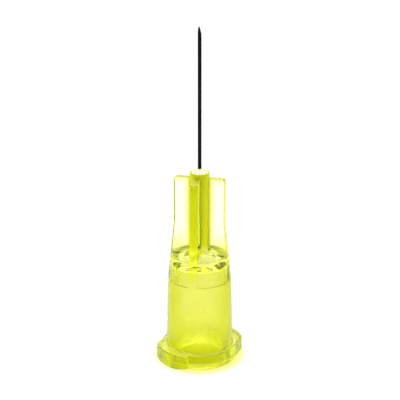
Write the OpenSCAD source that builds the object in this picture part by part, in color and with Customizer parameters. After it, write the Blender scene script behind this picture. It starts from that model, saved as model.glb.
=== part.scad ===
// Hypodermic needle with a winged Luer-lock hub, standing on its flange.
// Sizes are in millimetres. The origin is on the needle's axis at the underside of the flange, and +Z
// runs along the cannula to its point. The four wings lie along +X, +Y, -X and -Y.

/* [Cannula] */
// Outside diameter of the steel tube
cannula_od = 0.31; // [0.25:0.01:0.5]
// Bore of the steel tube
cannula_id = 0.16; // [0.08:0.01:0.2]
// Length of tube that stands out above the rim of the hub
exposed_length = 12.6; // [6:0.2:40]
// Angle between the long bevel and the axis
bevel_angle = 12; // [10:0.5:20]
// Direction that the bevel faces, anticlockwise from +X
bevel_heading = 303; // [0:1:359]
// Angle between each of the two point grinds and the axis
point_angle = 17; // [14:0.5:24]
// How far each point grind is turned away from the long bevel
point_turn = 34; // [20:1:50]

/* [Luer socket] */
// Diameter at the mouth of the tapered socket
socket_mouth_d = 4.3; // [4.27:0.005:4.315]
// Loss of diameter for each millimetre of depth, 0.06 being the standard Luer taper
socket_taper = 0.06; // [0.055:0.001:0.065]
// Depth of the tapered part of the socket
socket_depth = 8.6; // [7.5:0.1:8.8]
// Width of the lead-in bevel round the mouth
lead_in = 0.1; // [0.05:0.01:0.2]
// Height of the rounded step between the taper and the conical roof
roof_step = 0.4; // [0.2:0.05:0.5]
// Width of the rounded step
roof_inset = 0.3; // [0.2:0.05:0.4]
// Height of the conical roof
roof_h = 1.0; // [0.6:0.05:1.2]
// Diameter at the apex of the conical roof
roof_apex_d = 0.5; // [0.4:0.05:0.7]
// Diameter of the flow hole between the socket and the cannula
flow_d = 0.24; // [0.22:0.01:0.24]

/* [Flange and lock lugs] */
// Diameter of the round flange
flange_d = 6.6; // [6.3:0.05:7]
// Height of the flange and the lugs
flange_h = 1.4; // [1.2:0.05:1.8]
// Diameter across the two lock lugs
lug_d = 7.8; // [7.4:0.05:7.83]
// Direction in which the first lug reaches its full width, where its straight ramp ends
lug_start = 24; // [15:1:40]
// Direction of the square step that ends the first lug
lug_end = 86; // [70:1:100]
// Radius on the upper outer edges of the flange and the lugs
flange_edge = 0.13; // [0.05:0.01:0.25]
// Radius on their lower outer edges
foot_edge = 0.24; // [0.1:0.01:0.35]
// Direction in which the underside of the first lug starts to rise towards its square step
heel_start = 61; // [50:1:75]
// Height that the underside gains from there to the outer corner of the step
heel_rise = 0.34; // [0.1:0.02:0.5]

/* [Barrel] */
// Diameter of the barrel where it leaves the flange
barrel_foot_d = 5.92; // [5.6:0.02:6.1]
// Diameter of the barrel at the ledge
barrel_top_d = 5.56; // [5.3:0.02:5.6]
// Height of the ledge above the underside of the flange
ledge_z = 7.6; // [6.5:0.1:8.4]
// Inward step of the body at the ledge, between the wings
ledge_step = 0.13; // [0.08:0.01:0.25]
// Height of the flat shoulder above the underside of the flange
shoulder_z = 9.75; // [9.5:0.05:10.2]
// Radius on the outer edge of the shoulder
shoulder_edge = 0.16; // [0.05:0.01:0.3]
// Radius of the hollow sweep between shoulder and stem
shoulder_sweep = 1.1; // [0.4:0.05:1.3]
// Radius of the sweep between barrel and flange
barrel_sweep = 0.18; // [0.1:0.01:0.2]

/* [Wings] */
// Height of the tops of the wings above the underside of the flange
wing_top_z = 16.82; // [15:0.05:20]
// Height at which the upright edges of the wings start to flare
wing_kink_z = 12.85; // [11.5:0.05:13.5]
// Width across a pair of wings above the flare
wing_span = 4.5; // [3.6:0.02:5]
// Thickness of a wing at its top
wing_t_top = 0.62; // [0.5:0.01:0.8]
// Thickness of a wing at the ledge
wing_t_foot = 0.79; // [0.65:0.01:1]
// Radius on the top corners of the wings
wing_corner = 0.22; // [0.1:0.01:0.4]

/* [Stem and rim] */
// Diameter of the stem between the wings
stem_d = 1.6; // [1.3:0.02:1.8]
// Diameter of the rim at the top of the stem
rim_d = 1.74; // [1.6:0.02:2]
// How far the rim stands above the tops of the wings
rim_rise = 0.46; // [0.2:0.02:0.8]
// Height over which the stem widens to the rim
rim_flare = 1; // [0.6:0.05:1.5]

/* [Cannula seat and adhesive] */
// Height of the seat that the lower end of the cannula rests on
seat_z = 10.7; // [10.6:0.05:12]
// Gap round the cannula in its hole
cannula_gap = 0.01; // [0.005:0.005:0.03]
// Diameter of the adhesive well at the rim
well_mouth_d = 1.46; // [1.2:0.02:1.5]
// Depth of the adhesive well below the rim
well_depth = 1.85; // [1.2:0.05:2.4]
// Extra diameter of the foot of the well over the cannula hole
well_foot_extra = 0.1; // [0.06:0.01:0.2]
// Height of the adhesive mound above the rim
mound_h = 0.36; // [0.2:0.02:0.5]
// Gap between the adhesive and the walls that it is bonded to
bond_gap = 0.004; // [0.002:0.001:0.01]

/* [Hidden] */
$fn = 96;
// Facets on the small holes and edges
small_fn = 40;
// How far a cut runs past the face that it opens
over = 0.5;
// How far the straight ramps start inside the round flange
ramp_bite = 0.06;
// How far the sweeps reach into the wall and the face that they join
sweep_bite = 0.15;
rim_z = wing_top_z + rim_rise;
tip_z = rim_z + exposed_length;
barrel_foot_r = barrel_foot_d / 2;
barrel_top_r = barrel_top_d / 2;
flange_r = flange_d / 2;
lug_r = lug_d / 2;
stem_r = stem_d / 2;
rim_r = rim_d / 2;
wing_r = wing_span / 2;
cannula_r = cannula_od / 2;
cannula_hole_d = cannula_od + 2 * cannula_gap;
well_foot_d = cannula_hole_d + well_foot_extra;
well_foot_z = rim_z - well_depth;
mouth_r = socket_mouth_d / 2;
roof_foot_z = socket_depth + roof_step;
roof_apex_z = roof_foot_z + roof_h;
// Radius of the body between the wings, which keeps the barrel's own taper
barrel_slope = (barrel_foot_r - barrel_top_r) / (ledge_z - flange_h);
waist_foot_r = barrel_top_r - ledge_step;
waist_top_r = waist_foot_r - barrel_slope * (shoulder_z - ledge_z);
// Loss of wing thickness for each millimetre of height
wing_draft = (wing_t_foot - wing_t_top) / (wing_top_z - ledge_z);
// Inner radius of the flange's pieces, which lies inside the wall of the barrel
flange_root_r = (mouth_r + barrel_foot_r) / 2;
// Distance of the straight ramp from the axis, and the direction that it faces
ramp_r = flange_r - ramp_bite;
ramp_heading = lug_start - acos(ramp_r / lug_r);
// Slope of the risen underside, measured square to the direction in which it starts
heel_slope = atan(heel_rise / (lug_r * sin(lug_end - heel_start)));
// The adhesive mound is the cap of a ball that meets the well's mouth
bond_mouth_r = well_mouth_d / 2 - bond_gap;
mound_ball_r = (bond_mouth_r * bond_mouth_r + mound_h * mound_h) / (2 * mound_h);
// Larger than any cut across the tube
grind_block = 4 * cannula_od / tan(bevel_angle);

// Radius of the tapered socket at a height above the mouth
function socket_r(z) = mouth_r - socket_taper * z / 2;

// Section of a ring from an inner to an outer radius, with both outer corners rounded
module edged_section(inner_r, outer_r) {
    translate([inner_r, 0])
        square([outer_r - inner_r - foot_edge, flange_h - flange_edge]);
    translate([inner_r, foot_edge])
        square([outer_r - inner_r - flange_edge, flange_h - foot_edge]);
    translate([inner_r, foot_edge])
        square([outer_r - inner_r, flange_h - foot_edge - flange_edge]);
    translate([outer_r - foot_edge, foot_edge])
        circle(r = foot_edge, $fn = small_fn);
    translate([outer_r - flange_edge, flange_h - flange_edge])
        circle(r = flange_edge, $fn = small_fn);
}

// What the risen underside takes off the first lug
module heel_cut() {
    rotate([heel_slope, 0, heel_start])
        translate([0, 0, -lug_r])
            cube([2 * lug_r, 2 * lug_r, lug_r]);
}

// One lock lug: an arc that ends in a square step, cut back at its start to a straight ramp
module lock_lug() {
    difference() {
        rotate([0, 0, ramp_heading])
            intersection() {
                rotate_extrude(angle = lug_end - ramp_heading)
                    edged_section(flange_root_r, lug_r);
                translate([0, lug_r, 0])
                    rotate([90, 0, 0])
                        linear_extrude(height = 2 * lug_r)
                            edged_section(-lug_r, ramp_r);
            }
        heel_cut();
    }
}

// The flange is a plain ring with two opposed lugs
module flange() {
    rotate_extrude()
        edged_section(flange_root_r, flange_r);
    for (turn = [0, 180])
        rotate([0, 0, turn])
            lock_lug();
}

// Hollow quarter-round that sweeps from a wall at wall_r down to a flat face at floor_z
module sweep_section(wall_r, floor_z, size) {
    difference() {
        translate([wall_r - sweep_bite, floor_z - sweep_bite])
            square(size + sweep_bite);
        translate([wall_r + size, floor_z + size])
            circle(r = size);
    }
}

// Half section of the barrel, the waist between the wings, the shoulder and the stem
module core_section() {
    polygon([[0, 0], [barrel_foot_r, 0], [barrel_foot_r, flange_h], [barrel_top_r, ledge_z],
        [waist_foot_r, ledge_z], [waist_top_r, shoulder_z - shoulder_edge],
        [waist_top_r - shoulder_edge, shoulder_z], [stem_r, shoulder_z],
        [stem_r, rim_z - rim_flare], [rim_r, rim_z], [0, rim_z]]);
    translate([waist_top_r - shoulder_edge, shoulder_z - shoulder_edge])
        circle(r = shoulder_edge, $fn = small_fn);
    sweep_section(stem_r, shoulder_z, shoulder_sweep);
    sweep_section(barrel_foot_r - barrel_slope * barrel_sweep, flange_h, barrel_sweep);
}

// Half section that bounds the wings: upright at the top, then flared to lie flush with the barrel
module wing_bound() {
    polygon([[0, ledge_z - over], [barrel_top_r - over, ledge_z - over], [barrel_top_r, ledge_z],
        [wing_r, wing_kink_z], [wing_r, wing_top_z - wing_corner],
        [wing_r - wing_corner, wing_top_z], [0, wing_top_z]]);
    translate([wing_r - wing_corner, wing_top_z - wing_corner])
        circle(r = wing_corner, $fn = small_fn);
}

// A slab across the axis that makes two opposite wings, thinner towards the top so that it leaves its mould
module wing_pair() {
    low_z = ledge_z - over;
    low_half = (wing_t_foot + wing_draft * over) / 2;
    high_half = (wing_t_top - wing_draft * over) / 2;
    rotate([90, 0, 90])
        linear_extrude(height = 2 * barrel_foot_r, center = true)
            polygon([[-low_half, low_z], [low_half, low_z],
                [high_half, wing_top_z + over], [-high_half, wing_top_z + over]]);
}

module wings() {
    intersection() {
        rotate_extrude()
            wing_bound();
        union() {
            wing_pair();
            rotate([0, 0, 90])
                wing_pair();
        }
    }
}

// The tapered socket with its lead-in, the step above it and the conical roof
module socket() {
    rotate_extrude()
        polygon([[0, -over], [mouth_r + lead_in + over, -over], [mouth_r + lead_in, 0],
            [socket_r(lead_in), lead_in], [socket_r(socket_depth), socket_depth],
            [socket_r(socket_depth) - roof_inset, roof_foot_z], [roof_apex_d / 2, roof_apex_z],
            [0, roof_apex_z]]);
}

// Everything above the socket: flow hole, cannula hole and adhesive well
module upper_holes() {
    translate([0, 0, roof_apex_z - over / 5])
        cylinder(d = flow_d, h = seat_z - roof_apex_z + over / 5 + cannula_gap, $fn = small_fn);
    translate([0, 0, seat_z])
        cylinder(d = cannula_hole_d, h = rim_z - seat_z, $fn = small_fn);
    translate([0, 0, well_foot_z])
        cylinder(d1 = well_foot_d, d2 = well_mouth_d, h = well_depth, $fn = 64);
    translate([0, 0, rim_z])
        cylinder(d = well_mouth_d, h = over, $fn = 64);
}

// The moulded hub, one piece
module hub() {
    color([0.86, 0.9, 0.12, 0.7])
        difference() {
            union() {
                flange();
                rotate_extrude()
                    core_section();
                wings();
            }
            socket();
            upper_holes();
        }
}

// What one grind takes off. Its plane runs through the tip, faces heading and leans to the axis by lean
module grind(heading, lean) {
    translate([-cannula_r * cos(bevel_heading), -cannula_r * sin(bevel_heading), tip_z])
        rotate([0, -lean, heading])
            translate([0, -grind_block / 2, -grind_block / 2])
                cube(grind_block);
}

// The steel tube, with a long bevel and two point grinds that give its lancet point
module cannula() {
    color([0.62, 0.64, 0.66])
        difference() {
            translate([0, 0, seat_z])
                cylinder(d = cannula_od, h = tip_z - seat_z, $fn = small_fn);
            translate([0, 0, seat_z - over])
                cylinder(d = cannula_id, h = tip_z - seat_z + 2 * over, $fn = small_fn);
            grind(bevel_heading, bevel_angle);
            for (side = [-1, 1])
                grind(bevel_heading + side * point_turn, point_angle);
        }
}

// The cured bead that fills the well and mounds up round the cannula
module adhesive() {
    color([0.98, 0.97, 0.82])
        difference() {
            union() {
                translate([0, 0, well_foot_z + bond_gap])
                    cylinder(d1 = well_foot_d - 2 * bond_gap, d2 = 2 * bond_mouth_r,
                        h = well_depth - bond_gap, $fn = 64);
                intersection() {
                    translate([0, 0, rim_z + mound_h - mound_ball_r])
                        sphere(r = mound_ball_r);
                    translate([0, 0, rim_z])
                        cylinder(r = bond_mouth_r, h = mound_h + over, $fn = 64);
                }
            }
            translate([0, 0, well_foot_z - over])
                cylinder(d = cannula_od + 2 * bond_gap, h = well_depth + mound_h + 2 * over, $fn = small_fn);
        }
}

hub();
cannula();
adhesive();
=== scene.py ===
"""Looks of a fine hypodermic needle: clear yellow-green hub, steel cannula and the resin bead between them."""
import logging
import math
from dataclasses import dataclass, field
from enum import Enum

import bmesh
import bpy
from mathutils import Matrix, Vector


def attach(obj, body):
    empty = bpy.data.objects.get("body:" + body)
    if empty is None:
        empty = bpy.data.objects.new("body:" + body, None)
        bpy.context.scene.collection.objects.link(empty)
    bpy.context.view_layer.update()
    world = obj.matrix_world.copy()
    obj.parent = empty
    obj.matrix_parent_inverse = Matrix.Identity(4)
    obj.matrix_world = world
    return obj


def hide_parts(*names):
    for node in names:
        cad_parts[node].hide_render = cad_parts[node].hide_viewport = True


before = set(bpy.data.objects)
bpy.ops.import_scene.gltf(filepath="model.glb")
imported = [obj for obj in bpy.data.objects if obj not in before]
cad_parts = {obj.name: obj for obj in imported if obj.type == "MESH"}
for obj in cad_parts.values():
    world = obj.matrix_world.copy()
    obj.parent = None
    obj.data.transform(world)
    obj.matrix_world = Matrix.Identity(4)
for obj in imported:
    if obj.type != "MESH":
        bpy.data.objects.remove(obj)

LOG = logging.getLogger("needle")
MM = 0.001
BODY = "root"
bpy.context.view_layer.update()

Point = tuple[float, float]
Colour = tuple[float, float, float, float]


class Shading(Enum):
    """How the normals of a finished mesh are treated."""

    SMOOTH = 180.0
    CREASED = 28.0


class Rays(Enum):
    """The kinds of ray that the backdrop tells apart, by the name of their Light Path output."""

    CAMERA = "Is Camera Ray"
    GLOSSY = "Is Glossy Ray"
    TRANSMISSION = "Is Transmission Ray"


class Wire:
    """A shader socket that can be used in Python arithmetic.

    Each operator adds the Math node that works it out and returns that node's output.
    """

    def __init__(self, bench: "Bench", socket: bpy.types.NodeSocket) -> None:
        """Keeps the bench that owns the node tree, and the socket."""
        self.bench = bench
        self.socket = socket

    def _math(self, operation: str, *values: "Wire | float", clamp: bool = False) -> "Wire":
        """Adds one Math node.

        Args:
            operation: Name of the Math node's operation.
            values: Its inputs in order, wires or numbers.
            clamp: Whether the result is held between 0 and 1.

        Returns:
            The node's output.
        """
        node = self.bench.node("ShaderNodeMath", {"operation": operation, "use_clamp": clamp},
                               dict(enumerate(values)))
        return Wire(self.bench, node.outputs[0])

    def __add__(self, other: "Wire | float") -> "Wire":
        """Sum."""
        return self._math("ADD", self, other)

    __radd__ = __add__

    def __sub__(self, other: "Wire | float") -> "Wire":
        """Difference."""
        return self._math("SUBTRACT", self, other)

    def __rsub__(self, other: float) -> "Wire":
        """Difference from a number."""
        return self._math("SUBTRACT", other, self)

    def __mul__(self, other: "Wire | float") -> "Wire":
        """Product."""
        return self._math("MULTIPLY", self, other)

    __rmul__ = __mul__

    def __truediv__(self, other: "Wire | float") -> "Wire":
        """Quotient."""
        return self._math("DIVIDE", self, other)

    def __pow__(self, other: float) -> "Wire":
        """Power."""
        return self._math("POWER", self, other)

    def either(self, other: "Wire") -> "Wire":
        """The larger of two values."""
        return self._math("MAXIMUM", self, other)

    def smaller(self, other: "Wire") -> "Wire":
        """The smaller of two values."""
        return self._math("MINIMUM", self, other)

    def size(self) -> "Wire":
        """The value without its sign."""
        return self._math("ABSOLUTE", self)

    def clamped(self) -> "Wire":
        """The value held between 0 and 1."""
        return self._math("ADD", self, 0.0, clamp=True)

    def ramp(self, low: float, high: float) -> "Wire":
        """A smooth step from 0 at low to 1 at high, low being above high for a falling step.

        Args:
            low: Value at which the step is 0.
            high: Value at which the step is 1.

        Returns:
            The step.
        """
        node = self.bench.node("ShaderNodeMapRange", {"interpolation_type": "SMOOTHSTEP", "clamp": True},
                               {"Value": self, "From Min": low, "From Max": high, "To Min": 0.0, "To Max": 1.0})
        return Wire(self.bench, node.outputs["Result"])


class Bench:
    """Builds the node tree of one material or of the world."""

    def __init__(self, tree: bpy.types.NodeTree) -> None:
        """Empties the tree.

        Args:
            tree: The node tree to build in.
        """
        self.tree = tree
        tree.nodes.clear()

    def node(self, kind: str, settings: dict[str, object] | None = None,
             inputs: dict[str | int, object] | None = None) -> bpy.types.Node:
        """Adds a node.

        Args:
            kind: The node's type name.
            settings: Attributes that are set before its sockets, such as an operation or a ramp's stops.
            inputs: Values or wires for its sockets, by name or position.

        Returns:
            The node.
        """
        made = self.tree.nodes.new(kind)
        for name, value in (settings or {}).items():
            if name == "stops":
                self._set_stops(made.color_ramp, value)
            else:
                setattr(made, name, value)
        for name, value in (inputs or {}).items():
            socket = made.inputs[name]
            if isinstance(value, Wire):
                self.tree.links.new(value.socket, socket)
            elif isinstance(value, bpy.types.NodeSocket):
                self.tree.links.new(value, socket)
            else:
                socket.default_value = value
        return made

    @staticmethod
    def _set_stops(ramp: bpy.types.ColorRamp, stops: list[tuple[float, Colour]]) -> None:
        """Puts the given stops on a colour ramp that has its two own ones."""
        while len(ramp.elements) < len(stops):
            ramp.elements.new(0.5)
        for element, (place, colour) in zip(ramp.elements, stops):
            element.position = place
            element.color = colour

    def wire(self, node: bpy.types.Node, output: str | int = 0) -> Wire:
        """Wraps one output of a node."""
        return Wire(self, node.outputs[output])

    def place(self) -> bpy.types.NodeSocket:
        """The point on the surface, in the object's own coordinates."""
        return self.node("ShaderNodeTexCoord").outputs["Object"]

    def height(self) -> Wire:
        """Height above the underside of the flange, in millimetres."""
        parts = self.node("ShaderNodeSeparateXYZ", inputs={0: self.place()})
        return Wire(self, parts.outputs["Z"]) * (1.0 / MM)

    def radius(self) -> Wire:
        """Distance from the axis, in millimetres."""
        parts = self.node("ShaderNodeSeparateXYZ", inputs={0: self.place()}).outputs
        x, y = Wire(self, parts["X"]) * (1.0 / MM), Wire(self, parts["Y"]) * (1.0 / MM)
        return (x * x + y * y) ** 0.5

    def nearest_axis(self) -> Wire:
        """Distance from the nearer of the two upright planes that the wings lie in, in millimetres."""
        parts = self.node("ShaderNodeSeparateXYZ", inputs={0: self.place()}).outputs
        x, y = Wire(self, parts["X"]) * (1.0 / MM), Wire(self, parts["Y"]) * (1.0 / MM)
        return x.size().smaller(y.size())

    def turned_up(self) -> Wire:
        """How squarely the surface faces up or down, from 0 to 1."""
        facing = self.node("ShaderNodeTexCoord").outputs["Normal"]
        parts = self.node("ShaderNodeSeparateXYZ", inputs={0: facing}).outputs
        return Wire(self, parts["Z"]).size()

    def noise(self, per_mm: tuple[float, float, float], detail: float = 3.0, rough: float = 0.5) -> Wire:
        """Noise with its own scale along each axis.

        Args:
            per_mm: Cells in each millimetre along X, Y and Z.
            detail: Octaves.
            rough: Strength of each further octave.

        Returns:
            The noise, about 0.5 on average.
        """
        scale = tuple(cells / MM for cells in per_mm)
        stretched = self.node("ShaderNodeMapping", {"vector_type": "POINT"},
                              {"Vector": self.place(), "Scale": scale})
        made = self.node("ShaderNodeTexNoise", {"noise_dimensions": "3D"},
                         {"Vector": stretched.outputs[0], "Scale": 1.0, "Detail": detail, "Roughness": rough})
        return Wire(self, made.outputs[0])

    def turned_outwards(self) -> Wire:
        """How squarely the surface faces away from the axis or towards it, from 0 to 1."""
        parts = self.node("ShaderNodeSeparateXYZ", inputs={0: self.place()}).outputs
        flat = self.node("ShaderNodeCombineXYZ", inputs={0: parts["X"], 1: parts["Y"], 2: 0.0})
        outwards = self.node("ShaderNodeVectorMath", {"operation": "NORMALIZE"}, {0: flat.outputs[0]})
        facing = self.node("ShaderNodeTexCoord").outputs["Normal"]
        share = self.node("ShaderNodeVectorMath", {"operation": "DOT_PRODUCT"}, {0: outwards.outputs[0], 1: facing})
        return Wire(self, share.outputs["Value"]).size()

    def blend(self, factor: Wire, low: "Colour | Wire", high: "Colour | Wire") -> Wire:
        """A colour between two others.

        Args:
            factor: 0 gives low and 1 gives high.
            low: First colour.
            high: Second colour.

        Returns:
            The mixed colour.
        """
        made = self.node("ShaderNodeMix", {"data_type": "RGBA"}, {"Factor": factor, 6: low, 7: high})
        return Wire(self, made.outputs[2])

    def bump(self, relief: Wire, strength: float, depth_mm: float) -> Wire:
        """Turns a height into a normal.

        Args:
            relief: The height, from 0 to 1.
            strength: How much of it shows.
            depth_mm: What a height of 1 stands for.

        Returns:
            The bent normal.
        """
        made = self.node("ShaderNodeBump", inputs={"Height": relief, "Strength": strength, "Distance": depth_mm * MM})
        return Wire(self, made.outputs[0])

    def output(self, surface: Wire, volume: Wire | None = None) -> None:
        """Ends the tree in its material output."""
        inputs: dict[str | int, object] = {"Surface": surface}
        if volume is not None:
            inputs["Volume"] = volume
        self.node("ShaderNodeOutputMaterial", inputs=inputs)


def new_material(name: str) -> tuple[bpy.types.Material, Bench]:
    """Makes an empty node material.

    Args:
        name: Its name.

    Returns:
        The material, and the bench that its nodes are built on.
    """
    material = bpy.data.materials.new(name)
    material.use_nodes = True
    return material, Bench(material.node_tree)


@dataclass(frozen=True)
class HubPlastic:
    """Yellow-green polypropylene, slightly milky: clear wings, a glowing barrel and a deep tint down the stem.

    The levels run up the hub. Each holds a height in millimetres, the tint from there on, and how milky it is.
    """

    levels: tuple[tuple[float, Colour, float], ...] = (
        (0.0, (0.7, 0.735, 0.0002, 1.0), 0.2),
        (1.3, (0.67, 0.705, 0.0002, 1.0), 0.22),
        (1.9, (0.94, 0.98, 0.012, 1.0), 0.24),
        (4.0, (1.0, 1.0, 0.2, 1.0), 0.28),
        (7.55, (1.0, 1.0, 0.2, 1.0), 0.28),
        (7.75, (1.0, 1.0, 0.22, 1.0), 0.18),
        (9.3, (0.98, 1.0, 0.2, 1.0), 0.1),
        (9.6, (1.0, 1.0, 0.24, 1.0), 0.12),
        (9.75, (1.0, 1.0, 0.4, 1.0), 0.42),
        (10.9, (0.76, 0.8, 0.004, 1.0), 0.65),
        (16.4, (0.69, 0.73, 0.004, 1.0), 0.6),
    )
    clear: Colour = (1.0, 1.0, 0.998, 1.0)
    haze: Colour = (1.0, 1.0, 0.42, 1.0)
    root: Colour = (0.93, 0.98, 0.08, 1.0)
    rib: Colour = (0.97, 1.0, 0.03, 1.0)
    # Deeper, darker tint painted where the surface is seen edge-on: painted limb shade, for the longer path through the
    # plastic.
    painted_limb_shade: Colour = (0.74, 0.8, 0.001, 1.0)
    # Pale yellow painted light on the flange's top face, which faces up.
    step: Colour = (1.0, 1.0, 0.4, 1.0)
    # Bright yellow painted glow along the bottom edge of the flange ring, for light from the paper coming through it.
    foot: Colour = (1.0, 1.0, 0.12, 1.0)
    # Dark olive painted shade on the wing sides where they stand out of the barrel, between the ledge and the shoulder.
    painted_corner_shade: Colour = (0.42, 0.5, 0.01, 1.0)
    mirrored: Colour = (0.8, 0.85, 0.2, 1.0)
    top_mm: float = 18.0
    ior: float = 1.49
    density: float = 220.0
    absorbed: Colour = (0.94, 0.99, 0.1, 1.0)
    clear_roughness: float = 0.04
    satin_roughness: float = 0.17
    body_roughness: float = 0.3
    gloss_level: float = 0.25
    satin_ends_mm: float = 7.2
    satin_fades_mm: float = 9.0
    wing_from_mm: tuple[float, float] = (9.8, 10.2)
    wing_past_mm: tuple[float, float] = (0.82, 1.05)
    haze_foot_mm: tuple[float, float] = (12.4, 10.2)
    haze_root_mm: tuple[float, float] = (1.5, 1.05)
    root_mm: tuple[float, float] = (1.25, 0.95)
    haze_top_mm: tuple[float, float] = (16.1, 16.8)
    haze_end_mm: tuple[float, float] = (2.0, 2.45)
    crest_mm: tuple[float, float] = (16.74, 16.79)
    crest_milk: float = 0.4
    socket_mm: tuple[float, float] = (2.4, 2.2)
    bore_mm: tuple[float, float] = (0.35, 0.2)
    # Facing range over which the painted limb shade comes in.
    slant: tuple[float, float] = (0.08, 0.5)
    # Heights of the painted top light on the flange.
    painted_top_light_mm: tuple[float, float, float, float] = (1.3, 1.38, 1.6, 1.45)
    painted_foot_glow_mm: tuple[float, float] = (0.75, 0.55)
    ring_mm: tuple[float, float] = (3.38, 3.32)
    rib_mm: tuple[float, float] = (0.4, 0.36)
    rib_span_mm: tuple[float, float, float, float] = (7.8, 8.9, 11.4, 10.4)
    painted_corner_shade_mm: tuple[float, float, float, float] = (7.55, 7.65, 9.9, 9.6)
    painted_corner_shade_past_mm: tuple[float, float] = (2.3, 2.4)
    painted_corner_shade_milk: float = 0.6

    def _up(self, bench: Bench, height: Wire, shades: list[Colour]) -> Wire:
        """A colour ramp up the hub, with one shade at each level."""
        stops = [(level[0] / self.top_mm, shade) for level, shade in zip(self.levels, shades)]
        return bench.wire(bench.node("ShaderNodeValToRGB", {"stops": stops}, {0: height / self.top_mm}))

    def build(self) -> bpy.types.Material:
        """Returns the material."""
        material, bench = new_material("clear_yellow_plastic")
        height, radius = bench.height(), bench.radius()
        satin = height.ramp(self.satin_fades_mm, self.satin_ends_mm)
        mottle = bench.noise((0.7, 0.7, 0.5), detail=4.0)
        grain = bench.noise((14.0, 14.0, 9.0), detail=2.0)
        flow = bench.noise((2.2, 2.2, 0.35), detail=3.0)
        tint = self._up(bench, height, [level[1] for level in self.levels])
        milk = self._up(bench, height, [(level[2], level[2], level[2], 1.0) for level in self.levels])
        wing = height.ramp(*self.wing_from_mm) * radius.ramp(*self.wing_past_mm)
        outwards = bench.turned_outwards().ramp(0.45, 0.85)
        wing = wing * (1.0 - outwards)
        low, full, gone, last = self.rib_span_mm
        rib = bench.nearest_axis().ramp(*self.rib_mm) * height.ramp(low, full) * height.ramp(gone, last) * outwards
        # Mask for the painted corner shade: wing sides between the ledge and the shoulder, outside the waist.
        low, full, gone, last = self.painted_corner_shade_mm
        painted_corner_shade = height.ramp(low, full) * height.ramp(gone, last) * radius.ramp(*self.painted_corner_shade_past_mm)
        painted_corner_shade = painted_corner_shade * (1.0 - outwards) * (1.0 - bench.turned_up().ramp(0.3, 0.6))
        # Mask for the painted top light: faces turned up at the top of the flange.
        low, full, gone, last = self.painted_top_light_mm
        level = bench.turned_up().ramp(0.5, 0.9)
        step = height.ramp(low, full) * height.ramp(gone, last) * level
        # Painted corner shade, laid over the deeper tint on the wing ends.
        tint = bench.blend(painted_corner_shade, bench.blend(rib, tint, self.rib), self.painted_corner_shade)
        # Mask for the painted glow along the flange ring's bottom edge, laid over the painted top light.
        foot = height.ramp(*self.painted_foot_glow_mm) * radius.ramp(*self.ring_mm)
        tint = bench.blend(foot, bench.blend(step, tint, self.step), self.foot)
        # Milk: more on the painted corner shade, and most of it taken off the painted top light.
        milk = milk.either(painted_corner_shade * self.painted_corner_shade_milk) * (1.0 - step * 0.7)
        edges = height.ramp(*self.haze_foot_mm).either(radius.ramp(*self.haze_root_mm))
        edges = edges.either(height.ramp(*self.haze_top_mm)).either(radius.ramp(*self.haze_end_mm))
        inner = (radius.ramp(*self.socket_mm) * (1.0 - height.ramp(*self.wing_from_mm))).either(
            radius.ramp(*self.bore_mm))
        near = bench.blend(radius.ramp(*self.root_mm), self.haze, self.root)
        roughness = self.clear_roughness + satin * (self.satin_roughness + (mottle - 0.5) * 0.12) + (grain - 0.5) * 0.01
        relief = grain * satin * 0.35 + flow * 0.65
        normal = bench.bump(relief, 0.25, 0.01)
        faced = bench.blend(wing.either(inner), tint, bench.blend(edges * wing, self.clear, near))
        # Layer Weight mask for the painted limb shade, kept off the painted top light and the painted foot glow.
        slant = bench.wire(bench.node("ShaderNodeLayerWeight", inputs={"Blend": 0.5}), "Facing").ramp(*self.slant)
        slant = slant * (1.0 - level.either(foot))
        glass = bench.node("ShaderNodeBsdfPrincipled", inputs={
            "Base Color": bench.blend(slant * (1.0 - inner), faced, self.painted_limb_shade),
            "Roughness": roughness.clamped(),
            "IOR": self.ior,
            "Specular Tint": self.mirrored,
            "Specular IOR Level": self.gloss_level,
            "Transmission Weight": 1.0,
            "Normal": normal,
        })
        body = bench.node("ShaderNodeBsdfPrincipled", inputs={
            # Where it is seen edge-on, the milky body turns to the deeper rib yellow: painted limb shade too.
            "Base Color": bench.blend(slant * (1.0 - wing), bench.blend(wing, tint, self.root), self.rib),
            "Roughness": self.body_roughness + (mottle - 0.5) * 0.1,
            "IOR": self.ior,
            "Specular Tint": self.mirrored,
            "Specular IOR Level": self.gloss_level,
            "Normal": normal,
        })
        share = (milk + (mottle - 0.5) * 0.06) * (1.0 - wing.either(inner))
        share = share.either(wing * height.ramp(*self.crest_mm) * self.crest_milk)
        mixed = bench.node("ShaderNodeMixShader", inputs={
            0: share.clamped(), 1: bench.wire(glass), 2: bench.wire(body)})
        depth = bench.node("ShaderNodeVolumeAbsorption", inputs={"Color": self.absorbed, "Density": self.density})
        bench.output(bench.wire(mixed), bench.wire(depth))
        return material


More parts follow.
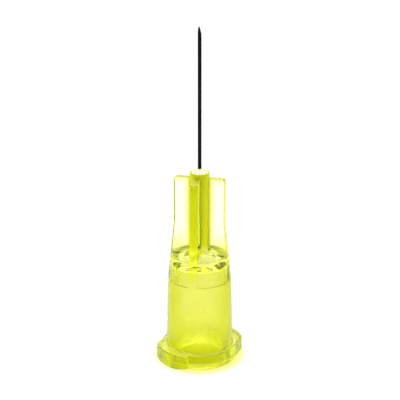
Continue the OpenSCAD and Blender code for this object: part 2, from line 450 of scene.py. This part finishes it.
@dataclass(frozen=True)
class CannulaSteel:
    """Drawn stainless tube, painted nearly black as a dark reflection: fine lines along its length, and grinding marks
    across the point.
    """

    # Both base colours are set nearly black: a painted dark reflection in place of the surroundings that the steel
    # mirrors.
    pale: Colour = (0.016, 0.016, 0.018, 1.0)
    dark: Colour = (0.006, 0.006, 0.007, 1.0)
    # The rim tint is darkened too, painting out the bright reflection at grazing angles.
    rim_tint: Colour = (0.08, 0.08, 0.09, 1.0)
    drawn_roughness: float = 0.24
    ground_roughness: float = 0.34
    ground_from_mm: float = 28.1
    ground_to_mm: float = 28.4

    def build(self) -> bpy.types.Material:
        """Returns the material."""
        material, bench = new_material("drawn_steel")
        lines = bench.noise((60.0, 60.0, 0.6), detail=3.0)
        clouds = bench.noise((2.0, 2.0, 0.5), detail=3.0)
        marks = bench.noise((4.0, 4.0, 90.0), detail=2.0)
        ground = bench.height().ramp(self.ground_from_mm, self.ground_to_mm)
        relief = lines * (1.0 - ground) + marks * ground
        shader = bench.node("ShaderNodeBsdfPrincipled", inputs={
            "Base Color": bench.blend((clouds * 0.6 + lines * 0.4).ramp(0.3, 0.7), self.dark, self.pale),
            "Metallic": 1.0,
            "Specular Tint": self.rim_tint,
            "Roughness": self.drawn_roughness + lines * 0.06 + ground * (self.ground_roughness - self.drawn_roughness),
            "Normal": bench.bump(relief, 0.3, 0.002),
        })
        bench.output(bench.wire(shader))
        return material


@dataclass(frozen=True)
class BeadResin:
    """Cured cream resin, slightly uneven, with a soft gloss."""

    pale: Colour = (0.87, 0.87, 0.6, 1.0)
    deep: Colour = (0.85, 0.85, 0.46, 1.0)
    roughness: float = 0.28

    def build(self) -> bpy.types.Material:
        """Returns the material."""
        material, bench = new_material("cured_resin")
        clouds = bench.noise((3.0, 3.0, 3.0), detail=3.0)
        pits = bench.noise((16.0, 16.0, 16.0), detail=1.0)
        shader = bench.node("ShaderNodeBsdfPrincipled", inputs={
            "Base Color": bench.blend(clouds.ramp(0.35, 0.7), self.pale, self.deep),
            "Roughness": self.roughness + (clouds - 0.5) * 0.2,
            "IOR": 1.5,
            "Normal": bench.bump(clouds * 0.7 + pits * 0.3, 0.4, 0.02),
        })
        bench.output(bench.wire(shader))
        return material


@dataclass(frozen=True)
class PaperFloor:
    """White paper that shows as the white background, takes the hub's shadow, and has a painted yellow glow at the
    hub's foot.
    """

    white: Colour = (0.96, 0.96, 0.96, 1.0)
    shade: Colour = (0.94, 0.94, 0.94, 1.0)
    # Yellow painted glow near the hub's foot, in place of the coloured light that the hub passes onto the paper.
    painted_glow: Colour = (1.0, 1.0, 0.3, 1.0)
    painted_glow_mm: tuple[float, float] = (4.5, 3.4)
    mouth_mm: tuple[float, float] = (2.0, 2.35)
    mouth_lift: float = 0.08
    lift: float = 0.88

    def build(self) -> bpy.types.Material:
        """Returns the material."""
        material, bench = new_material("white_paper")
        fibre = bench.noise((1.5, 1.5, 1.5), detail=4.0)
        # Mask for the painted glow, near the hub's foot.
        near = bench.radius().ramp(*self.painted_glow_mm)
        paper = bench.node("ShaderNodeBsdfPrincipled", inputs={
            "Base Color": bench.blend(near, bench.blend(fibre.ramp(0.3, 0.7), self.white, self.shade), self.painted_glow),
            "Roughness": 0.85 + (fibre - 0.5) * 0.1,
            "Normal": bench.bump(fibre, 0.1, 0.05),
        })
        # The white lift seen by camera, glossy and transmission rays also carries the painted glow near the hub.
        lifted = bench.blend(near, (1.0, 1.0, 1.0, 1.0), self.painted_glow)
        painted_glow = bench.node("ShaderNodeEmission", inputs={"Color": lifted, "Strength": 1.0})
        rays = bench.node("ShaderNodeLightPath")
        seen = bench.wire(rays, Rays.CAMERA.value)
        for kind in (Rays.GLOSSY, Rays.TRANSMISSION):
            seen = seen.either(bench.wire(rays, kind.value))
        lift = self.mouth_lift + bench.radius().ramp(*self.mouth_mm) * (self.lift - self.mouth_lift)
        mixed = bench.node("ShaderNodeMixShader", inputs={
            0: seen * lift, 1: bench.wire(paper), 2: bench.wire(painted_glow)})
        bench.output(bench.wire(mixed))
        return material


def finish_mesh(name: str, mesh: bpy.types.Mesh, material: bpy.types.Material, shading: Shading,
                node: str) -> bpy.types.Object:
    """Makes a finished piece that stands for one CAD node.

    Args:
        name: The piece's name.
        mesh: Its mesh, in metres and in the part's own frame.
        material: Its finish.
        shading: How its normals are treated.
        node: The CAD node that it stands for.

    Returns:
        The piece.
    """
    mesh.materials.clear()
    mesh.materials.append(material)
    mesh.polygons.foreach_set("use_smooth", [True] * len(mesh.polygons))
    if shading is not Shading.SMOOTH:
        mesh.set_sharp_from_angle(angle=math.radians(shading.value))
    piece = bpy.data.objects.new(name, mesh)
    bpy.context.scene.collection.objects.link(piece)
    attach(piece, BODY)
    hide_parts(node)
    LOG.info("%s: %d faces", name, len(mesh.polygons))
    return piece


def arc(centre: Point, radius: float, start: float, end: float, steps: int = 8) -> list[Point]:
    """Points along a circular arc.

    Args:
        centre: Its centre.
        radius: Its radius.
        start: Direction of the first point in degrees.
        end: Direction of the last point in degrees.
        steps: Number of chords.

    Returns:
        The points, both ends included.
    """
    angles = [math.radians(start + (end - start) * i / steps) for i in range(steps + 1)]
    return [(centre[0] + radius * math.cos(a), centre[1] + radius * math.sin(a)) for a in angles]


def spread(low: float, high: float, steps: int) -> list[float]:
    """Evenly spaced values from low to high, both included."""
    return [low + (high - low) * i / steps for i in range(steps + 1)]


def divided(points: list[Point], longest: float) -> list[Point]:
    """A closed outline with points added so that no side is longer than a given length.

    Args:
        points: The outline's corners.
        longest: The longest side allowed.

    Returns:
        The outline with the added points.
    """
    result: list[Point] = []
    for (x0, y0), (x1, y1) in zip(points, points[1:] + points[:1]):
        parts = max(1, math.ceil(math.hypot(x1 - x0, y1 - y0) / longest))
        result += [(x0 + (x1 - x0) * k / parts, y0 + (y1 - y0) * k / parts) for k in range(parts)]
    return result


def revolved(outline: list[Point], turns: int) -> bpy.types.Mesh:
    """Turns a closed half section, given as radius and height, about the axis.

    Args:
        outline: Points of the half section in millimetres; none lies on the axis.
        turns: Number of segments round the axis.

    Returns:
        A closed mesh in metres.
    """
    shape = bmesh.new()
    rings = [[shape.verts.new((r * math.cos(a) * MM, r * math.sin(a) * MM, z * MM)) for r, z in outline]
             for a in (2 * math.pi * i / turns for i in range(turns))]
    for ring, following in zip(rings, rings[1:] + rings[:1]):
        for k in range(len(outline)):
            after = (k + 1) % len(outline)
            shape.faces.new((ring[k], following[k], following[after], ring[after]))
    return closed_mesh(shape, "turned")


def lofted(levels: list[list[tuple[float, float, float]]]) -> bpy.types.Mesh:
    """Joins a stack of closed outlines with equal numbers of points, and closes both ends.

    Args:
        levels: The outlines, from bottom to top, in millimetres.

    Returns:
        A closed mesh in metres.
    """
    shape = bmesh.new()
    rings = [[shape.verts.new(Vector(point) * MM) for point in level] for level in levels]
    count = len(levels[0])
    for low, high in zip(rings, rings[1:]):
        for k in range(count):
            after = (k + 1) % count
            shape.faces.new((low[k], low[after], high[after], high[k]))
    shape.faces.new(list(reversed(rings[0])))
    shape.faces.new(rings[-1])
    return closed_mesh(shape, "lofted")


def closed_mesh(shape: bmesh.types.BMesh, name: str) -> bpy.types.Mesh:
    """Makes a mesh with outward normals from a closed shape, and frees the shape.

    Args:
        shape: The closed shape.
        name: The mesh's name.

    Returns:
        The mesh.
    """
    bmesh.ops.recalc_face_normals(shape, faces=shape.faces)
    mesh = bpy.data.meshes.new(name)
    shape.to_mesh(mesh)
    shape.free()
    return mesh


class TurnedCopies:
    """Geometry nodes that set equal copies of a mesh round the axis."""

    COUNT = "Copies"
    MATERIAL = "Finish"

    def __init__(self) -> None:
        """Builds the tree once."""
        tree = bpy.data.node_groups.new("copies_round_axis", "GeometryNodeTree")
        face = tree.interface
        face.new_socket("Geometry", in_out="INPUT", socket_type="NodeSocketGeometry")
        count = face.new_socket(self.COUNT, in_out="INPUT", socket_type="NodeSocketInt")
        finish = face.new_socket(self.MATERIAL, in_out="INPUT", socket_type="NodeSocketMaterial")
        face.new_socket("Geometry", in_out="OUTPUT", socket_type="NodeSocketGeometry")
        self.tree = tree
        self.keys = {self.COUNT: count.identifier, self.MATERIAL: finish.identifier}
        self._wire(tree)

    def _wire(self, tree: bpy.types.NodeTree) -> None:
        """Adds the nodes: points on the axis, one turned copy on each, made real and given its finish."""
        def add(kind: str, **settings: object) -> bpy.types.Node:
            """One node with its settings."""
            node = tree.nodes.new(kind)
            for name, value in settings.items():
                setattr(node, name, value)
            return node

        link = tree.links.new
        source = add("NodeGroupInput")
        points = add("GeometryNodePoints")
        link(source.outputs[self.COUNT], points.inputs["Count"])
        index = add("GeometryNodeInputIndex")
        share = add("ShaderNodeMath", operation="DIVIDE")
        link(index.outputs[0], share.inputs[0])
        link(source.outputs[self.COUNT], share.inputs[1])
        turn = add("ShaderNodeMath", operation="MULTIPLY")
        turn.inputs[1].default_value = 2 * math.pi
        link(share.outputs[0], turn.inputs[0])
        angles = add("ShaderNodeCombineXYZ")
        link(turn.outputs[0], angles.inputs["Z"])
        rotation = add("FunctionNodeEulerToRotation")
        link(angles.outputs[0], rotation.inputs[0])
        copies = add("GeometryNodeInstanceOnPoints")
        link(points.outputs[0], copies.inputs["Points"])
        link(source.outputs["Geometry"], copies.inputs["Instance"])
        link(rotation.outputs[0], copies.inputs["Rotation"])
        real = add("GeometryNodeRealizeInstances")
        link(copies.outputs[0], real.inputs[0])
        finish = add("GeometryNodeSetMaterial")
        link(real.outputs[0], finish.inputs["Geometry"])
        link(source.outputs[self.MATERIAL], finish.inputs["Material"])
        result = add("NodeGroupOutput")
        link(finish.outputs[0], result.inputs["Geometry"])

    def apply(self, mesh: bpy.types.Mesh, count: int, material: bpy.types.Material) -> bpy.types.Mesh:
        """Sets copies of a mesh round the axis.

        Args:
            mesh: The first copy, in place.
            count: How many copies there are in a full turn.
            material: Their finish.

        Returns:
            One plain mesh with all the copies.
        """
        carrier = bpy.data.objects.new("copied", mesh)
        bpy.context.scene.collection.objects.link(carrier)
        modifier = carrier.modifiers.new("copies", "NODES")
        modifier.node_group = self.tree
        modifier[self.keys[self.COUNT]] = count
        modifier[self.keys[self.MATERIAL]] = material
        result = baked(carrier)
        bpy.data.objects.remove(carrier)
        return result


def baked(carrier: bpy.types.Object) -> bpy.types.Mesh:
    """The mesh that an object's modifiers give, as a plain mesh of its own."""
    view = bpy.context.evaluated_depsgraph_get()
    return bpy.data.meshes.new_from_object(carrier.evaluated_get(view), depsgraph=view)


def joined(base: bpy.types.Mesh, others: list[bpy.types.Mesh]) -> bpy.types.Mesh:
    """Fuses closed meshes into one closed solid.

    Args:
        base: The mesh that the others are fused to.
        others: The meshes to add.

    Returns:
        The fused mesh.
    """
    scene = bpy.context.scene
    carrier = bpy.data.objects.new("fused", base)
    scene.collection.objects.link(carrier)
    tools = []
    for number, mesh in enumerate(others):
        tool = bpy.data.objects.new(f"tool_{number}", mesh)
        scene.collection.objects.link(tool)
        tools.append(tool)
        cut = carrier.modifiers.new(tool.name, "BOOLEAN")
        cut.operation = "UNION"
        cut.solver = "EXACT"
        cut.object = tool
    result = baked(carrier)
    for left_over in [carrier, *tools]:
        bpy.data.objects.remove(left_over)
    return result


@dataclass
class HubMoulding:
    """The moulded hub: flange with lock lugs, barrel with its tapered socket, wings, stem and adhesive well.

    All sizes are in millimetres and all directions in degrees anticlockwise from +X.
    """

    socket_mouth_r: float = 2.15
    socket_taper: float = 0.03
    socket_depth: float = 8.6
    lead_in: float = 0.1
    roof_step: float = 0.4
    roof_inset: float = 0.3
    roof_h: float = 1.0
    roof_apex_r: float = 0.25
    flow_r: float = 0.12
    flange_r: float = 3.3
    flange_h: float = 1.4
    flange_edge: float = 0.13
    foot_edge: float = 0.15
    heel_start: float = 61.0
    heel_rise: float = 0.34
    lug_r: float = 3.9
    lug_start: float = 24.0
    lug_end: float = 86.0
    ramp_r: float = 3.24
    barrel_foot_r: float = 2.96
    barrel_top_r: float = 2.78
    barrel_sweep: float = 0.18
    ledge_z: float = 7.6
    ledge_step: float = 0.13
    soft_edge: float = 0.03
    shoulder_z: float = 9.75
    shoulder_edge: float = 0.16
    shoulder_sweep: float = 1.1
    wing_top_z: float = 16.82
    wing_kink_z: float = 12.85
    wing_r: float = 2.25
    wing_t_top: float = 0.62
    wing_t_foot: float = 0.79
    wing_corner: float = 0.22
    wing_edge: float = 0.05
    wing_count: int = 4
    lug_count: int = 2
    stem_r: float = 0.8
    rim_r: float = 0.87
    rim_rise: float = 0.46
    rim_flare: float = 1.0
    seat_z: float = 10.7
    hole_r: float = 0.15
    well_mouth_r: float = 0.73
    well_depth: float = 1.85
    well_foot_r: float = 0.215
    turns: int = 192
    finish: HubPlastic = field(default_factory=HubPlastic)

    @property
    def rim_z(self) -> float:
        """Height of the rim."""
        return self.wing_top_z + self.rim_rise

    @property
    def barrel_slope(self) -> float:
        """Loss of barrel radius for each millimetre of height."""
        return (self.barrel_foot_r - self.barrel_top_r) / (self.ledge_z - self.flange_h)

    def core_outline(self) -> list[Point]:
        """Half section of everything that is round, as radius and height, outside upwards and then inside down."""
        edge, soft, sweep = self.flange_edge, self.soft_edge, self.barrel_sweep
        waist_foot = self.barrel_top_r - self.ledge_step
        waist_top = waist_foot - self.barrel_slope * (self.shoulder_z - self.ledge_z)
        shoulder = self.shoulder_edge
        big = self.shoulder_sweep
        foot = self.barrel_foot_r - self.barrel_slope * sweep
        outside = [(self.socket_mouth_r + self.lead_in, 0.0)]
        outside += arc((self.flange_r - self.foot_edge, self.foot_edge), self.foot_edge, -90, 0)
        outside += arc((self.flange_r - edge, self.flange_h - edge), edge, 0, 90)
        outside += arc((foot + sweep, self.flange_h + sweep), sweep, 270, 180)
        outside += arc((self.barrel_top_r - soft, self.ledge_z - soft), soft, 0, 90, 4)
        outside += arc((waist_foot + soft, self.ledge_z + soft), soft, 270, 180, 4)
        outside += arc((waist_top - shoulder, self.shoulder_z - shoulder), shoulder, 0, 90)
        outside += arc((self.stem_r + big, self.shoulder_z + big), big, 270, 180, 12)
        outside += [(self.stem_r, self.rim_z - self.rim_flare)]
        outside += arc((self.rim_r - soft, self.rim_z - soft), soft, 0, 90, 4)
        socket_top = self.socket_mouth_r - self.socket_taper * self.socket_depth
        roof_foot = self.socket_depth + self.roof_step
        inside = arc((self.well_mouth_r + soft, self.rim_z - soft), soft, 90, 180, 4)
        inside += [
            (self.well_foot_r, self.rim_z - self.well_depth),
            (self.hole_r, self.rim_z - self.well_depth),
            (self.hole_r, self.seat_z),
            (self.flow_r, self.seat_z),
            (self.flow_r, roof_foot + self.roof_h + 0.08),
            (self.roof_apex_r, roof_foot + self.roof_h),
            (socket_top - self.roof_inset, roof_foot),
        ]
        inside += arc((socket_top - self.roof_inset, self.socket_depth), self.roof_inset, 60, 0, 6)
        inside += [(self.socket_mouth_r - self.socket_taper * self.lead_in, self.lead_in)]
        return outside + inside

    def wing_section(self, z: float) -> list[tuple[float, float, float]]:
        """Outline of the first wing at one height.

        Args:
            z: The height.

        Returns:
            Points round the wing, from its root to its outer face and back.
        """
        half = self.wing_half_thickness(z)
        outer = self.wing_reach(z)
        root = self.wing_root(z)
        edge = min(self.wing_edge, half / 2)
        corner = arc((outer - edge, half - edge), edge, 90, 0, 4)
        face = [(math.sqrt(outer ** 2 - y ** 2) - (outer - math.sqrt(outer ** 2 - (half - edge) ** 2)) * 0.0, y)
                for y in spread(half - edge, -(half - edge), 6)[1:-1]]
        dip = [outer - math.sqrt(outer ** 2 - y ** 2) for _, y in corner]
        top = [(x - d, y) for (x, y), d in zip(corner, dip)]
        bottom = [(x, -y) for x, y in reversed(top)]
        flat = [(root, half)] + top + face + bottom + [(root, -half)]
        return [(x, y, z) for x, y in flat]

    def wing_half_thickness(self, z: float) -> float:
        """Half the wing's thickness at a height, drafted, and rounded over at its top."""
        share = (z - self.ledge_z) / (self.wing_top_z - self.ledge_z)
        half = (self.wing_t_foot + (self.wing_t_top - self.wing_t_foot) * share) / 2
        over = max(0.0, z - (self.wing_top_z - self.wing_edge))
        return half - (self.wing_edge - math.sqrt(max(0.0, self.wing_edge ** 2 - over ** 2)))

    def wing_reach(self, z: float) -> float:
        """Distance from the axis to the wing's outer face at a height."""
        if z <= self.ledge_z:
            return self.barrel_top_r
        if z <= self.wing_kink_z:
            share = (z - self.ledge_z) / (self.wing_kink_z - self.ledge_z)
            return self.barrel_top_r + (self.wing_r - self.barrel_top_r) * share
        over = max(0.0, z - (self.wing_top_z - self.wing_corner))
        return self.wing_r - (self.wing_corner - math.sqrt(max(0.0, self.wing_corner ** 2 - over ** 2)))

    def wing_root(self, z: float) -> float:
        """Distance from the axis to the wing's root, which stays inside the wall at every height."""
        marks = [(7.2, 2.35), (9.0, 2.3), (9.3, 1.7), (9.55, 1.2), (9.8, 0.9), (10.3, 0.7), (99.0, 0.7)]
        for (z0, x0), (z1, x1) in zip(marks, marks[1:]):
            if z <= z1:
                return x0 + (x1 - x0) * max(0.0, z - z0) / (z1 - z0)
        return marks[-1][1]

    def wing(self) -> bpy.types.Mesh:
        """The first wing, along +X."""
        turned_over = [self.wing_top_z - self.wing_corner * (1 - math.sin(math.radians(a)))
                       for a in (0, 12, 24, 36, 48, 60)]
        rounded = [self.wing_top_z - self.wing_edge * (1 - math.sin(math.radians(a)))
                   for a in (0, 22.5, 45, 67.5, 90)]
        heights = [7.2, 7.4, self.ledge_z, 8.3, 9.0, 9.3, 9.55, 9.8, 10.3, 11.0, 12.0,
                   self.wing_kink_z - 0.15, self.wing_kink_z, self.wing_kink_z + 0.15, 14.0, 15.0, 16.0]
        heights += turned_over + rounded
        return lofted([self.wing_section(z) for z in sorted(set(heights))])

    def lug_section(self, angle: float) -> list[tuple[float, float, float]]:
        """Section of the first lug in one direction from the axis.

        Args:
            angle: The direction in degrees.

        Returns:
            Points round the section.
        """
        heading = self.lug_start - math.degrees(math.acos(self.ramp_r / self.lug_r))
        on_ramp = angle < self.lug_start
        reach = self.ramp_r / math.cos(math.radians(angle - heading)) if on_ramp else self.lug_r
        root = (self.socket_mouth_r + self.barrel_foot_r) / 2
        section = [(root, 0.0)]
        section += arc((reach - self.foot_edge, self.foot_edge), self.foot_edge, -90, 0)
        section += arc((reach - self.flange_edge, self.flange_h - self.flange_edge), self.flange_edge, 0, 90)
        section += [(root, self.flange_h)]
        turn = math.radians(angle)
        past_heel = math.sin(math.radians(max(0.0, angle - self.heel_start)))
        slope = self.heel_rise / (self.lug_r * math.sin(math.radians(self.lug_end - self.heel_start)))
        return [(r * math.cos(turn), r * math.sin(turn), max(z, slope * r * past_heel)) for r, z in section]

    def lug(self) -> bpy.types.Mesh:
        """The first lock lug: a straight ramp, an arc, and a square end above which the underside rises."""
        heading = self.lug_start - math.degrees(math.acos(self.ramp_r / self.lug_r))
        angles = spread(heading - 4.0, self.lug_start, 14) + spread(self.lug_start, self.heel_start, 14)[1:]
        angles += spread(self.heel_start, self.lug_end, 12)[1:]
        return lofted([self.lug_section(angle) for angle in angles])

    def build(self, copies: TurnedCopies) -> bpy.types.Object:
        """Makes the hub.

        Args:
            copies: The geometry nodes that set copies round the axis.

        Returns:
            The finished piece.
        """
        material = self.finish.build()
        core = revolved(divided(self.core_outline(), 0.8), self.turns)
        wings = copies.apply(self.wing(), self.wing_count, material)
        lugs = copies.apply(self.lug(), self.lug_count, material)
        mesh = joined(core, [wings, lugs])
        mesh.name = "hub_moulding"
        return finish_mesh("hub_moulding", mesh, material, Shading.CREASED, "hub")


@dataclass
class CannulaTube:
    """The steel tube with its lancet point. Sizes are in millimetres and directions in degrees."""

    outer_r: float = 0.155
    bore_r: float = 0.08
    foot_z: float = 10.7
    tip_z: float = 29.88
    heading: float = 303.0
    bevel_angle: float = 12.0
    point_angle: float = 17.0
    point_turn: float = 34.0
    around: int = 96
    finish: CannulaSteel = field(default_factory=CannulaSteel)

    def ground_to(self, radius: float, angle: float) -> float:
        """Height at which the grinds cut a line along the tube.

        Args:
            radius: The line's distance from the axis.
            angle: Its direction, in radians.

        Returns:
            The height of the cut.
        """
        depth = 0.0
        grinds = [(self.heading, self.bevel_angle), (self.heading - self.point_turn, self.point_angle),
                  (self.heading + self.point_turn, self.point_angle)]
        tip = math.radians(self.heading)
        for heading, lean in grinds:
            facing = math.radians(heading)
            reach = radius * math.cos(angle - facing) + self.outer_r * math.cos(tip - facing)
            depth = max(depth, reach / math.tan(math.radians(lean)))
        return self.tip_z - depth

    def build(self) -> bpy.types.Object:
        """Returns the finished tube."""
        shape = bmesh.new()
        angles = [math.radians(self.heading) + 2 * math.pi * i / self.around for i in range(self.around)]
        columns = []
        for angle in angles:
            column = []
            for radius, upwards in ((self.outer_r, True), (self.bore_r, False)):
                top = self.ground_to(radius, angle)
                heights = [self.foot_z] + spread(17.0, 28.0, 6) + [top]
                for z in heights if upwards else reversed(heights):
                    place = (radius * math.cos(angle) * MM, radius * math.sin(angle) * MM, z * MM)
                    column.append(shape.verts.new(place))
            columns.append(column)
        for column, following in zip(columns, columns[1:] + columns[:1]):
            for k in range(len(column)):
                after = (k + 1) % len(column)
                shape.faces.new((column[k], following[k], following[after], column[after]))
        mesh = closed_mesh(shape, "cannula_tube")
        return finish_mesh("cannula_tube", mesh, self.finish.build(), Shading.CREASED, "cannula")


@dataclass
class ResinBead:
    """The cured bead: a cone in the well, and a mound that climbs the cannula. Sizes are in millimetres."""

    bore_r: float = 0.15
    foot_r: float = 0.217
    foot_z: float = 15.43
    mouth_r: float = 0.732
    rim_z: float = 17.28
    mound_h: float = 0.36
    turns: int = 96
    finish: BeadResin = field(default_factory=BeadResin)

    def outline(self) -> list[Point]:
        """Half section as radius and height."""
        ball = (self.mouth_r ** 2 + self.mound_h ** 2) / (2 * self.mound_h)
        mound = [(r, self.rim_z + self.mound_h - ball + math.sqrt(ball ** 2 - r ** 2))
                 for r in spread(self.mouth_r, self.bore_r, 16)]
        cone = [(self.foot_r + (self.mouth_r - self.foot_r) * share, self.foot_z + (self.rim_z - self.foot_z) * share)
                for share in spread(0.0, 1.0, 6)[:-1]]
        inner = [(self.bore_r, z) for z in spread(self.rim_z, self.foot_z, 4)]
        return cone + mound + inner

    def build(self) -> bpy.types.Object:
        """Returns the finished bead."""
        mesh = revolved(self.outline(), self.turns)
        mesh.name = "resin_bead"
        return finish_mesh("resin_bead", mesh, self.finish.build(), Shading.CREASED, "adhesive")


@dataclass
class Studio:
    """Floor, soft light, backdrop and camera. Lengths are in millimetres, directions in degrees."""

    azimuth: float = 13.0
    elevation: float = 19.84
    distance: float = 97.3
    look_z: float = 14.76
    focal_px: float = 1127.0
    frame_px: float = 400.0
    axis_px: float = 199.65
    sensor: float = 36.0
    floor_r: float = 400.0
    floor_drop: float = 0.01
    bright: float = 1.56
    dark_level: float = 0.3
    side_level: float = 0.35
    side_core: float = 28.0
    side_reach: float = 58.0
    dark_elevation: float = 30.0
    dark_core: float = 14.0
    dark_reach: float = 30.0

    def camera(self) -> None:
        """Places the camera where the photograph was taken from."""
        data = bpy.data.cameras.new("photo_camera")
        data.sensor_width = self.sensor
        data.lens = self.focal_px / self.frame_px * self.sensor
        data.shift_x = (self.frame_px / 2 - self.axis_px) / self.frame_px
        data.clip_start = MM
        data.clip_end = 10.0
        seat = bpy.data.objects.new("photo_camera", data)
        bpy.context.scene.collection.objects.link(seat)
        target = Vector((0.0, 0.0, self.look_z * MM))
        seat.location = target - self.facing() * self.distance * MM
        seat.rotation_euler = self.facing().to_track_quat("-Z", "Y").to_euler()
        bpy.context.scene.camera = seat

    def facing(self) -> Vector:
        """Direction in which the camera looks."""
        azimuth, elevation = math.radians(self.azimuth), math.radians(self.elevation)
        flat = math.cos(elevation)
        return Vector((-math.sin(azimuth) * flat, math.cos(azimuth) * flat, -math.sin(elevation)))

    def floor(self) -> None:
        """Lays a round sheet of white paper under the flange."""
        shape = bmesh.new()
        bmesh.ops.create_circle(shape, cap_ends=True, segments=96, radius=self.floor_r * MM)
        mesh = bpy.data.meshes.new("paper")
        shape.to_mesh(mesh)
        shape.free()
        mesh.materials.append(PaperFloor().build())
        sheet = bpy.data.objects.new("paper", mesh)
        sheet.location.z = -self.floor_drop * MM
        bpy.context.scene.collection.objects.link(sheet)

    def backdrop(self) -> None:
        """White all round, with a dim patch above the camera: the front of the light tent, where it is open."""
        world = bpy.data.worlds.new("light_tent")
        world.use_nodes = True
        bpy.context.scene.world = world
        bench = Bench(world.node_tree)
        look = self.facing()
        rise = math.radians(self.dark_elevation)
        flat = Vector((-look.x, -look.y, 0.0)).normalized() * math.cos(rise)
        ray = bench.node("ShaderNodeTexCoord").outputs["Generated"]
        along = bench.node("ShaderNodeVectorMath", {"operation": "DOT_PRODUCT"},
                           {0: ray, 1: (flat.x, flat.y, math.sin(rise))})
        across = bench.node("ShaderNodeVectorMath", {"operation": "DOT_PRODUCT"}, {0: ray, 1: (-look.y, look.x, 0.0)})
        core, reach = math.cos(math.radians(self.dark_core)), math.cos(math.radians(self.dark_reach))
        side_core, side_reach = math.cos(math.radians(self.side_core)), math.cos(math.radians(self.side_reach))
        dim = Wire(bench, along.outputs["Value"]).ramp(reach, core) * (self.bright - self.dark_level)
        side = Wire(bench, across.outputs["Value"]).size().ramp(side_reach, side_core) * (self.bright - self.side_level)
        level = self.bright - dim.either(side)
        lit = bench.node("ShaderNodeBackground", inputs={"Color": (1.0, 1.0, 1.0, 1.0), "Strength": level})
        bench.node("ShaderNodeOutputWorld", inputs={"Surface": bench.wire(lit)})

    def lamp(self, name: str, azimuth: float, elevation: float, away: float, size: float, power: float) -> None:
        """Hangs one soft box that faces the object.

        Args:
            name: The lamp's name.
            azimuth: Direction from the object, anticlockwise from +X.
            elevation: Height above the horizon.
            away: Distance from the object.
            size: Width of the soft box.
            power: Power in watts.
        """
        data = bpy.data.lights.new(name, "AREA")
        data.shape = "SQUARE"
        data.size = size * MM
        data.energy = power
        box = bpy.data.objects.new(name, data)
        bpy.context.scene.collection.objects.link(box)
        a, e = math.radians(azimuth), math.radians(elevation)
        away_from = Vector((math.cos(a) * math.cos(e), math.sin(a) * math.cos(e), math.sin(e)))
        box.location = Vector((0.0, 0.0, self.look_z * MM)) + away_from * away * MM
        box.rotation_euler = (-away_from).to_track_quat("-Z", "Y").to_euler()

    def build(self) -> None:
        """Sets up the whole studio."""
        self.camera()
        self.floor()
        self.backdrop()
        self.lamp("back_box", 103.0, 42.0, 150.0, 45.0, 0.03)
        bpy.context.scene.view_settings.view_transform = "Standard"


def main() -> None:
    """Builds the needle, piece by piece, and the studio round it."""
    logging.basicConfig(level=logging.INFO, format="%(name)s: %(message)s")
    copies = TurnedCopies()
    HubMoulding().build(copies)
    CannulaTube().build()
    ResinBead().build()
    bpy.data.node_groups.remove(copies.tree)
    Studio().build()
    bpy.context.view_layer.update()


if __name__ == "__main__":
    main()
